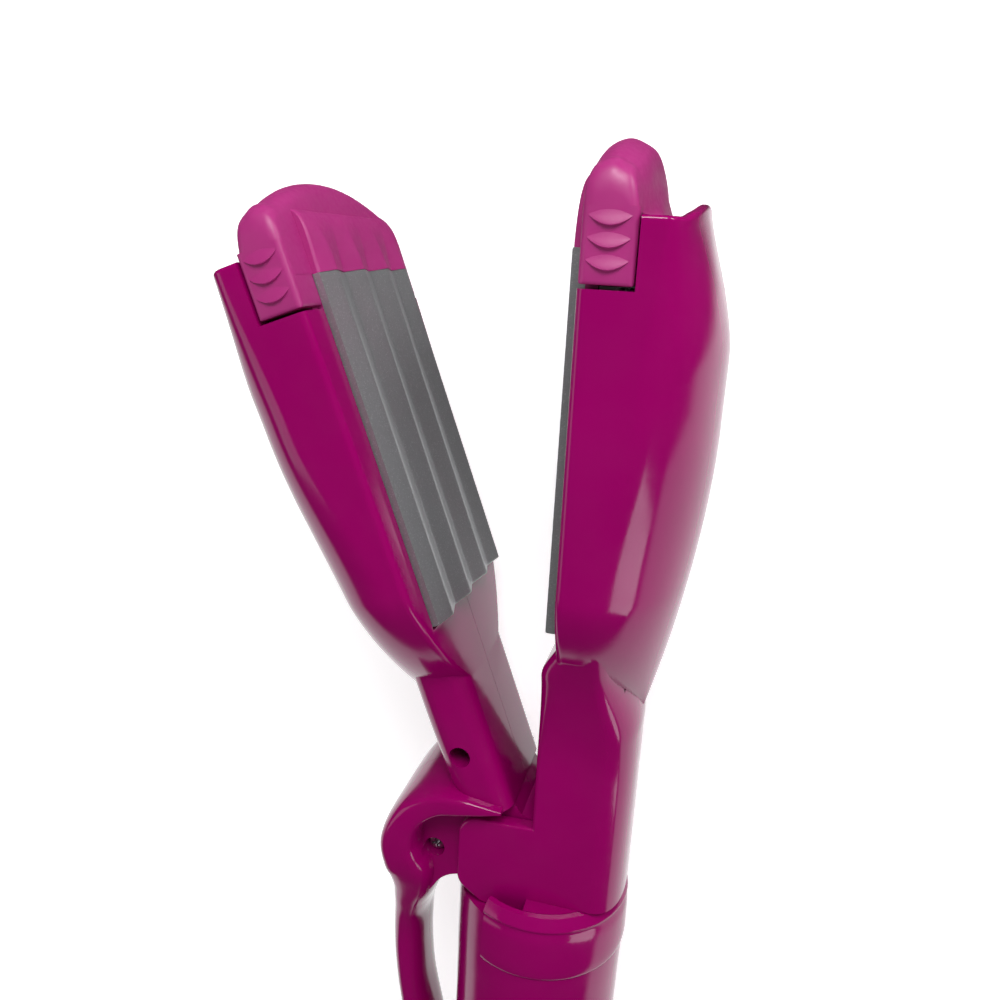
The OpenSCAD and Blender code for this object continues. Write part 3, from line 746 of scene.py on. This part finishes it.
# Places of the moving arm's screws, with the height of each one's head. The first has a post.
JAW_SCREWS = [(8.7, -29.7, 9.0), (23.0, -51.0, 8.2)]


def jaw_post(seam):
    """Post round the first screw."""
    return rod(*JAW_SCREWS[0][:2], seam, 11, 4.2)


class CRIMPER_OT_jaw_shells(Operator):
    """Make both halves of the moving arm with its hook"""

    bl_idname = "crimper.jaw_shells"
    bl_label = "Moving arm"

    def execute(self, context):
        seam = half_seam()
        near = jaw_half(seam)
        near.name = "moving_arm_near"
        joined(near, jaw_post(seam))
        for x, y, head in JAW_SCREWS:
            cut(near, rod(x, y, -1, 30, 1.4, 32), rod(x, y, head - 2, 30, 2.2, 64))
        finished(near, True, "jaw", shell_finish(), "jaw_shell_near")
        far = jaw_half(seam)
        far.name = "moving_arm_far"
        joined(far, jaw_post(seam))
        cut(far, *[rod(x, y, -1, 7, 1.2, 32) for x, y, _ in JAW_SCREWS])
        finished(mirrored_z(far), True, "jaw", shell_finish(), "jaw_shell_far")
        return {"FINISHED"}


class CRIMPER_OT_lever_pad(Operator):
    """Make the finger pad, a sleeve over the end of the lever"""

    bl_idname = "crimper.lever_pad"
    bl_label = "Finger pad"

    def execute(self, context):
        outer, d = band_rings(PAD_START, BAND_END, 0, True)
        centre = outer[-1].mean(axis=0)
        towards = np.array([*d[-1], 0])
        a = arc(8, 84, 10)[:, None, None]
        end = centre + (outer[-1] - centre) * np.cos(a) + towards * 3 * np.sin(a)
        mouth = outer[:1].mean(axis=1, keepdims=True)
        lip = mouth + (outer[:1] - mouth) * 0.965 - np.array([*d[0], 0]) * 0.12
        pad = new_object("finger_pad", skin(np.concatenate([lip, outer, end])))
        inner, _ = band_rings(PAD_START - 1, BAND_END, PAD_SKIN - 0.05, True)
        cut(pad, skin(inner))
        finished(pad, True, "jaw", shell_finish(), "lever_pad", 45)
        return {"FINISHED"}


# Cartridges

# The two arms: the name of each, how its CAD nodes and bodies start, and which way its wave runs
ARMS = (("fixed", "fixed", -1), ("moving", "jaw", 1))


def crest(s, roundness):
    """Wave of the plate at s pitches from its first edge: a triangle wave with rounded crests, the
    arcsine of a cosine."""
    rho = 1 - roundness
    return -np.arcsin(rho * np.cos(2 * np.pi * (s + CRIMP_START))) / np.arcsin(rho) * CRIMP_H / 2


def wave_front(flip, roundness, n=241):
    """Front of the wavy plate as [x, z] rows."""
    z = np.linspace(PLATE_W / 2, -PLATE_W / 2, n)
    return np.column_stack([SHUT_GAP - crest((PLATE_W / 2 - z) / CRIMP_PITCH, roundness), flip * z])


def plate_form(flip, roundness):
    """Wavy plate: its section carried along Y, the last 0.3 mm at each end drawn back."""
    front = wave_front(flip, roundness)
    back = np.array([[PLATE_BACK, -flip * PLATE_W / 2], [PLATE_BACK, flip * PLATE_W / 2]])
    y = np.array([0, 0.06, 0.3, PLATE_L - 0.3, PLATE_L - 0.06, PLATE_L])
    draw = np.array([0.3, 0.1, 0, 0, 0.1, 0.3])
    section = np.vstack([front, back])
    rings = np.stack([np.insert(section, 1, v, axis=1) for v in y])
    rings[..., 0] = np.minimum(rings[..., 0] + draw[:, None], PLATE_BACK)
    return skin(rings)


def tip_top(z):
    """Height of the tip at depth z: a flat arch that turns down in round corners."""
    side = GRIP_Z - TIP_CORNER
    over = np.maximum(0, np.abs(z) - side)
    return (84 - np.minimum(np.abs(z), side) ** 2 / 104 - TIP_CORNER
            + np.sqrt(np.maximum(0, TIP_CORNER ** 2 - over ** 2)))


def tip_form():
    """Rounded tip: an arched section carried across the iron, narrower at the back towards its
    sides and drawn in along two quarter-round rims."""
    turn = arc(0, 90, 9)
    rim_z, rim_s = 25.65 + 1.3 * np.sin(turn), 1.3 * (1 - np.cos(turn))
    z = np.concatenate([rim_z[::-1], np.linspace(25.2, -25.2, 76), -rim_z])
    s = np.concatenate([rim_s[::-1], np.zeros(76), rim_s])
    rings = []
    for depth, draw in zip(z, s):
        # Top, share of the back's full height, and nearness to the side
        t = float(tip_top(depth)) - draw
        k = min(1.0, (t - TIP_BASE - 0.1) / 9.6)
        n = 1 - float(smooth((GRIP_Z - abs(depth)) / 12))
        over = curve([[2 + draw, t - 6], [2.05 + draw, t - 4.3], [2.4 + draw, t - 2.3],
                      [3.5 + draw / 2, t - 0.8], [5.8, t], [8.1 - 0.6 * n - draw / 2, t - 0.8 * k],
                      [9.7 - 0.9 * n - draw, t - 1.9 * k], [10.6 - n - draw, t - 4.1 * k],
                      [11.2 - 1.1 * n - draw, t - 7 * k], [12 - 1.6 * n - draw, t - 9.4 * k],
                      [13 - 2.4 * n - draw, TIP_BASE]], 4)
        outline = np.vstack([[9.2, TIP_BASE], [9.2, TIP_FOOT], [2 + draw, TIP_FOOT], over])
        rings.append(np.insert(outline, 2, depth, axis=1))
    return skin(np.stack(rings))


def tip_wave_form(flip, roundness):
    """Panel that carries the plate's wave on up the tip: proud of it almost to the panel's top,
    with the wave fading on the way."""
    front = wave_front(flip, roundness, 161)
    front[:, 1] *= 0.995
    edge = np.linspace(-1, 1, 161)
    soft = 0.35 * np.maximum(0, (np.abs(edge) - 0.97) / 0.03) ** 2
    back = np.array([[4, -flip * PLATE_W / 2], [4, flip * PLATE_W / 2]])
    rings = []
    for u in np.concatenate([[0], np.linspace(0.02, 0.98, 40)]):
        proud, wave = np.sqrt(max(0, 1 - u ** 5)), 1 - 0.94 * float(smooth(1.1 * u))
        level = 2.6 - (2.6 - SHUT_GAP) * proud + (front[:, 0] - SHUT_GAP) * wave + soft
        section = np.vstack([np.column_stack([level, front[:, 1]]), back])
        rings.append(np.insert(section, 1, PLATE_L + 11.4 * u, axis=1))
    return skin(np.stack(rings))


def ridge_form(y, sign, height):
    """Lens-shaped finger ridge: along its length t its width falls as 1 minus t squared. Across, it
    rises slowly from above to its crest and drops steeply below."""
    v = np.array([1.6, 1.3, 1.0, 0.6, 0.2, -0.2, -0.6, -0.82, -0.95, -1.02, -1.2])
    h = np.array([-0.8, 0.02, 0.13, 0.3, 0.5, 0.72, 0.93, 1.0, 0.86, 0.4, -0.8])
    t = np.linspace(-0.97, 0.97, 41)[:, None]
    c = 1 - t ** 2
    x = 6.3 + 3.3 * t + 0 * v
    rise = np.where(h < 0, -0.5, height * c * h)
    return skin(np.stack([x, y + 0.5 * t ** 2 + v * c, sign * (GRIP_Z + rise)], -1))


def grip_form(sign):
    """Side grip of a cartridge: a section with quarter circles of radius f in front and b behind,
    carried along Y and drawn in at its lower end."""
    turn = arc(0, 90, 7)
    f, b = 1.1, 0.9
    front = np.column_stack([GRIP_FRONT + f - f * np.cos(turn), GRIP_Z - f + f * np.sin(turn)])
    back = np.column_stack([GRIP_BACK - b + b * np.sin(turn), GRIP_Z - b + b * np.cos(turn)])
    section = np.vstack([[GRIP_FRONT, 19.6], front, back, [GRIP_BACK, 19.6]])
    y = np.array([60.7, 60.82, 61.0, 61.3, TIP_BASE + 0.85])
    draw = np.array([0.5, 0.2, 0.07, 0, 0])
    rings = np.stack([np.insert(section, 1, v, axis=1) for v in y])
    t = draw[:, None]
    rings[..., 0] = np.clip(rings[..., 0], GRIP_FRONT + t, GRIP_BACK - t)
    rings[..., 2] = sign * np.minimum(rings[..., 2], GRIP_Z - t)
    return skin(rings)


RIDGES_Y = (70.2, 67, 63.8)


def carrier_object(name, flip):
    """Cartridge moulding: tongue with thin edges, block, tip, wave and two ridged grips."""
    base = new_object(name, tip_form())
    forms = [
        block([PLATE_BACK, 0, -19.3], [TONGUE_BACK, 63, 19.3]),
        block([TONGUE_EDGE, 2, -21.2], [TONGUE_BACK, 63, 21.2]),
        block([TONGUE_EDGE, -4, -16], [TONGUE_BACK, 2.1, 16]),
        block([2.3, 61.5, -24], [9.8, TIP_BASE + 1, 24]),
        tip_wave_form(flip, sizes().crest),
        grip_form(1), grip_form(-1),
    ]
    forms += [ridge_form(y, s, 1000 * sizes().ridge) for y in RIDGES_Y for s in (1, -1)]
    joined(base, *forms)
    return cut(base, block([5, 60, -18], [8.9, 76, 18]))


class CRIMPER_OT_cartridges(Operator):
    """Make the mouldings of the two slide-off cartridges"""

    bl_idname = "crimper.cartridges"
    bl_label = "Cartridges"

    def execute(self, context):
        satin = satin_moulding("satin_cartridge", tuple(tints().carrier))
        for arm, stem, flip in ARMS:
            made = carrier_object(f"{arm}_cartridge_moulding", flip)
            finished(made, flip > 0, f"{stem}_cartridge", satin, f"{stem}_carrier")
        return {"FINISHED"}


class CRIMPER_OT_crimp_plates(Operator):
    """Make the two wavy plates"""

    bl_idname = "crimper.crimp_plates"
    bl_label = "Crimping plates"

    def execute(self, context):
        grey = sparkling_plate("sparkling_plate", tuple(tints().plate))
        for arm, stem, flip in ARMS:
            made = new_object(f"{arm}_wavy_plate", plate_form(flip, sizes().crest))
            finished(made, flip > 0, f"{stem}_cartridge", grey,
                     f"{stem}_crimp_plate", 20)
        return {"FINISHED"}


# Screws and handle end


def screw_form(x, y, z, down, length, head):
    """Pan-head screw: circles of radius r at heights h along Z, for a shank and a head whose dome
    is a quarter ellipse. Down is the way that its head looks, 1 or -1."""
    a = arc(90, 0, 7)
    r = np.concatenate([[1.15, 1.15, head], head * np.sin(a), [0.05]])
    h = np.concatenate([[-length, -2.0, -2.0], -0.9 + 0.9 * np.cos(a), [0.0]])
    u = np.linspace(0, 2 * np.pi, 48, endpoint=False)
    return skin(np.stack([np.column_stack([x + q * np.cos(u), y + q * np.sin(u),
                                           np.full(48, z + down * t)]) for q, t in zip(r, h)]))


def screw_object(name, places, down, length, head):
    """Several screws in one piece, each with a cross recess in its head."""
    made = None
    for x, y, z in places:
        one = new_object("screw", screw_form(x, y, z, down, length, head))
        for dx, dy in ((0.6 * head, 0.3), (0.3, 0.6 * head)):
            low, high = sorted((z + down * 1, z - down * 1.1))
            cut(one, block([x - dx, y - dy, low], [x + dx, y + dy, high]))
        made = one if made is None else joined(made, one)
    made.name = name
    return made


class CRIMPER_OT_screws(Operator):
    """Make the screws of both arms"""

    bl_idname = "crimper.screws"
    bl_label = "Screws"

    def execute(self, context):
        steel = plain_metal("plated_steel", (0.6, 0.6, 0.62), 0.28)
        jaw = screw_object("moving_arm_screws", JAW_SCREWS, 1, 14, 2.05)
        finished(jaw, True, "jaw", steel, "jaw_screws")
        places = [(x, y, SHELL_SCREW_Z) for x, y, _ in SHELL_SCREWS]
        fixed = screw_object("handle_screws", places, -1, 16, 2.5)
        finished(fixed, False, "handle", steel, "shell_screws")
        return {"FINISHED"}


class CRIMPER_OT_handle_end(Operator):
    """Make the end cap and the bush that turns with the cord"""

    bl_idname = "crimper.handle_end"
    bl_label = "Handle end"

    def execute(self, context):
        r0 = grip_radius(HANDLE_END)
        a = arc(0, 80, 14)
        dome = np.column_stack([9.5 + (r0 - 9.5) * np.cos(a), -0.05 - 9.95 * np.sin(a)])
        profile = np.vstack([[[9.2, 4], [15.1, 4], [15.1, 0]], dome,
                             [[9.5, -10], [6.5, -10], [6.5, -2], [9.2, -2]]]) + [0, HANDLE_END]
        cap = new_object("handle_end_cap", turned(profile, 0, 360, 192))
        finished(cap, False, "handle", shell_finish(), "end_cap")
        turn = arc(0, 90, 6)
        rim = np.column_stack([5.15 + np.cos(turn), -12.5 - np.sin(turn)])
        bush = np.vstack([[[3.2, 1.3], [8.8, 1.3], [8.8, -1.7], [6.15, -1.7]], rim,
                          [[3.2, -13.5]]]) + [0, HANDLE_END]
        rubber = plain_plastic("cord_bush_rubber", shade(tints().knob, 0.6), 0.55)
        made = new_object("cord_inlet_bush", turned(bush, 0, 360, 128))
        finished(made, False, "cord_swivel", rubber, "cord_bush")
        return {"FINISHED"}


def knob_form():
    """Knob plate with rounded rims and a raised grip of five ribs."""
    z = 16.25 + np.array([0, 0.3, 1.75, 1.95, 2.05])
    inset = np.array([0.25, 0, 0, 0.12, 0.4])
    outline = rounded_outline([[-4.6, -110], [4.6, -110], [4.6, -100], [-4.6, -100]], 1.2, 8)
    centre = outline.mean(axis=0)
    rings = []
    for height, t in zip(z, inset):
        d = outline - centre
        shrunk = centre + d * (1 - t / np.linalg.norm(d, axis=1)[:, None])
        rings.append(np.insert(shrunk, 2, height, axis=1))
    return skin(np.stack(rings))


def rib_form(y):
    """Rounded rib across the knob, an arch carried along X."""
    a = arc(0, 180, 13)
    arch = np.column_stack([y + 0.6 * np.cos(a), 18.2 + 0.7 * np.sin(a)])
    x = np.array([-4.0, -3.8, 3.8, 4.0])
    size = np.array([0.6, 1, 1, 0.6])
    mid = np.array([y, 18.2])
    return skin(np.stack([np.insert(mid + (arch - mid) * k, 0, v, axis=1)
                          for v, k in zip(x, size)]))


class CRIMPER_OT_switch(Operator):
    """Make the switch knob and the window of the lamp"""

    bl_idname = "crimper.switch"
    bl_label = "Switch and lamp"

    def execute(self, context):
        knob = new_object("switch_slider", knob_form())
        joined(knob, block([-1.8, -107, 9.6], [1.8, -103, 16.5]),
               *[rib_form(y) for y in (-108.4, -106.7, -105, -103.3, -101.6)])
        satin = plain_plastic("knob_plastic", tuple(tints().knob), 0.4)
        finished(knob, False, "switch", satin, "switch_knob")
        lens = new_object("lamp_window", rod(0, LAMP_Y, 14.8, 18.3, 1.95, 64, edge=0.35))
        finished(lens, False, "handle", light_window("lamp_window", (0.72, 0.3, 0.36)),
                 "led_lens", 50)
        return {"FINISHED"}


class CRIMPER_OT_inner_parts(Operator):
    """Give each CAD part that stays its own finish"""

    bl_idname = "crimper.inner_parts"
    bl_label = "Inner parts"

    def execute(self, context):
        inner = (
            (plain_metal("spring_steel", (0.58, 0.58, 0.6), 0.3),
             "pivot_pin", "closing_spring", "fixed_heater_clip", "jaw_heater_clip"),
            (plain_metal("brass", (0.6, 0.42, 0.16), 0.32),
             "pivot_bushes", "fixed_latch_spring", "jaw_latch_spring"),
            (plain_metal("hot_plate_aluminium", (0.6, 0.6, 0.61), 0.34),
             "fixed_heater_plate", "jaw_heater_plate"),
            (plain_plastic("amber_film", (0.55, 0.28, 0.06), 0.3),
             "fixed_heater_element", "jaw_heater_element"),
            (plain_plastic("black_moulding", (0.03, 0.03, 0.035), 0.5),
             "jaw_thermostat", "switch_block", "swivel_retainer"),
            (plain_plastic("silicone_wire", (0.75, 0.74, 0.7), 0.55),
             "fixed_lead_wires", "jaw_lead_wires"),
            (plain_plastic("ceramic", (0.75, 0.71, 0.6), 0.6), "thermal_fuse"),
            (circuit_board("circuit_board", (0.05, 0.22, 0.08)), "control_board"),
            (plain_plastic("lamp_body", (0.6, 0.02, 0.02), 0.25), "power_led"),
        )
        for material, *names in inner:
            for name in names:
                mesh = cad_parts[name].data
                mesh.materials.clear()
                mesh.materials.append(material)
        return {"FINISHED"}


# Stage


# The camera's place in metres, its right, up and backward directions, and its lens in millimetres
CAMERA_PLACE = (0.04488, 0.12308, 0.18744)
CAMERA_AXES = (
    (0.96505, 0.05059, -0.25712), (-0.1186, 0.95927, -0.2564), (0.23367, 0.27794, 0.93174),
)
CAMERA_LENS = 31.357

# Lamps: direction from the middle of the iron, distance and sides in metres, power in watts
LAMPS = {
    "key": ((0.1, 0.8, 0.62), 0.46, (0.18, 0.18), 1.3),
    "fill": ((-0.85, -0.2, 0.6), 1.1, (0.6, 0.6), 1.2),
    "strip": ((0.82, -0.5, 0.4), 0.6, (0.12, 0.3), 0.36),
    "plates": ((0.65, 0.7, 0.3), 0.4, (0.1, 0.1), 0.4),
}
LAMPS_AIM = (0.0, 0.06, 0.03)

# Strengths of the room's even light, and of its reflections where it is dark and where bright
ROOM_LIGHT, ROOM_DARK, ROOM_BRIGHT = 0.5, 0.04, 1.3
# What the floor adds of its own to look white
FLOOR_LIFT = 0.6


def add_camera():
    """Camera at the photograph's viewing angle."""
    camera = bpy.data.cameras.new("camera")
    camera.lens = CAMERA_LENS
    camera.clip_start, camera.clip_end = 0.005, 50
    made = bpy.data.objects.new("camera", camera)
    bpy.context.scene.collection.objects.link(made)
    turn = Matrix(CAMERA_AXES).transposed().to_4x4()
    made.matrix_world = Matrix.Translation(CAMERA_PLACE) @ turn
    bpy.context.scene.camera = made


def add_lamp(name, direction, distance, size, power):
    """Soft lamp that looks at the middle of the iron from a direction."""
    lamp = bpy.data.lights.new(name, "AREA")
    lamp.shape = "RECTANGLE"
    lamp.size, lamp.size_y = size
    lamp.energy = power
    made = bpy.data.objects.new(name, lamp)
    bpy.context.scene.collection.objects.link(made)
    away = Vector(direction).normalized()
    made.location = Vector(LAMPS_AIM) + away * distance
    made.rotation_mode = "QUATERNION"
    made.rotation_quaternion = away.to_track_quat("Z", "Y")


def add_world():
    """White for the camera, an even soft light on matt surfaces, and a dim room for reflections,
    bright where 0.9 times a direction's downward part plus 1.9 times its part towards the cord
    end passes from 0.6 to 0.8."""
    world = bpy.data.worlds.new("studio")
    bpy.context.scene.world = world
    world.use_nodes = True
    world.node_tree.nodes.clear()
    t = Tree(world.node_tree)
    path = t.add("LightPath").outputs
    way = t.add("SeparateXYZ", Vector=t.add("TexCoord").outputs["Generated"]).outputs
    low = t.math("ADD", t.math("MULTIPLY", way["Z"], -0.9), t.math("MULTIPLY", way["Y"], -1.9))
    level = t.carried(low, (0.6, 0.8), (0.0, ROOM_BRIGHT), "SMOOTHSTEP")
    under = t.carried(way["Z"], (-0.05, 0.1), (1.0, 0.0), "SMOOTHSTEP")
    bright = t.math("ADD", t.math("MULTIPLY", level, under), ROOM_DARK)
    mirror = t.math("MAXIMUM", path["Is Glossy Ray"], path["Is Transmission Ray"])
    room = t.mixed(mirror, t.add("Background", Strength=ROOM_LIGHT),
                   t.add("Background", Strength=bright))
    seen = t.mixed(path["Is Camera Ray"], room, t.add("Background", Color=(1, 1, 1, 1)))
    t.links.new(seen.outputs[0], t.add("OutputWorld").inputs["Surface"])


def add_floor():
    """Pale matt floor under the iron, which keeps the shadow. A little light of its own lifts it to
    white for the camera, and reflections pass through it to the room."""
    points = np.array([[-4, -4, -0.0004], [4, -4, -0.0004], [4, 4, -0.0004], [-4, 4, -0.0004]])
    floor = new_object("floor", (points, [[0, 1, 2, 3]]))
    f = Finish("pale_floor", Base_Color=(0.9, 0.9, 0.9, 1), Roughness=0.9, Specular_IOR_Level=0.0)
    floor.data.materials.append(f.bump((f.noise(300, 2), 0.02, 0.0002)))
    path = f.add("LightPath").outputs
    lift = f.math("MULTIPLY", path["Is Camera Ray"], FLOOR_LIFT)
    lit = f.add("AddShader")
    f.links.new(f.shader.outputs[0], lit.inputs[0])
    f.links.new(f.add("Emission", Strength=lift).outputs[0], lit.inputs[1])
    seen = f.mixed(path["Is Glossy Ray"], lit, f.add("BsdfTransparent"))
    f.links.new(seen.outputs[0], f.nodes["Material Output"].inputs["Surface"])


class CRIMPER_OT_stage(Operator):
    """Make the floor, the lamps and the camera"""

    bl_idname = "crimper.stage"
    bl_label = "Stage"

    def execute(self, context):
        context.scene.view_settings.view_transform = "Standard"
        add_camera()
        add_world()
        add_floor()
        for name, lamp in LAMPS.items():
            add_lamp(name, *lamp)
        return {"FINISHED"}


STEPS = (
    CRIMPER_OT_fixed_shells, CRIMPER_OT_collar, CRIMPER_OT_jaw_shells, CRIMPER_OT_lever_pad,
    CRIMPER_OT_cartridges, CRIMPER_OT_crimp_plates, CRIMPER_OT_screws, CRIMPER_OT_handle_end,
    CRIMPER_OT_switch, CRIMPER_OT_inner_parts, CRIMPER_OT_stage,
)


class CRIMPER_PT_panel(Panel):
    """Steps, sizes and colours of the crimping iron"""

    bl_idname = "CRIMPER_PT_panel"
    bl_label = "Crimping iron"
    bl_space_type = "VIEW_3D"
    bl_region_type = "UI"
    bl_category = "Crimping iron"

    def draw(self, context):
        for settings in (context.scene.crimper_sizes, context.scene.crimper_colours):
            box = self.layout.box()
            for name in type(settings).__annotations__:
                box.prop(settings, name)
        column = self.layout.column(align=True)
        for step in STEPS:
            column.operator(step.bl_idname)


CLASSES = (CrimperSizes, CrimperColours, *STEPS, CRIMPER_PT_panel)


def register():
    """Adds the classes and the scene's settings."""
    for c in CLASSES:
        bpy.utils.register_class(c)
    bpy.types.Scene.crimper_sizes = PointerProperty(type=CrimperSizes)
    bpy.types.Scene.crimper_colours = PointerProperty(type=CrimperColours)


def unregister():
    """Takes away what register() adds."""
    del bpy.types.Scene.crimper_colours
    del bpy.types.Scene.crimper_sizes
    for c in reversed(CLASSES):
        bpy.utils.unregister_class(c)


def main():
    """Builds everything in order."""
    register()
    for step in STEPS:
        group, name = step.bl_idname.split(".")
        getattr(getattr(bpy.ops, group), name)()


if __name__ == "__main__":
    main()
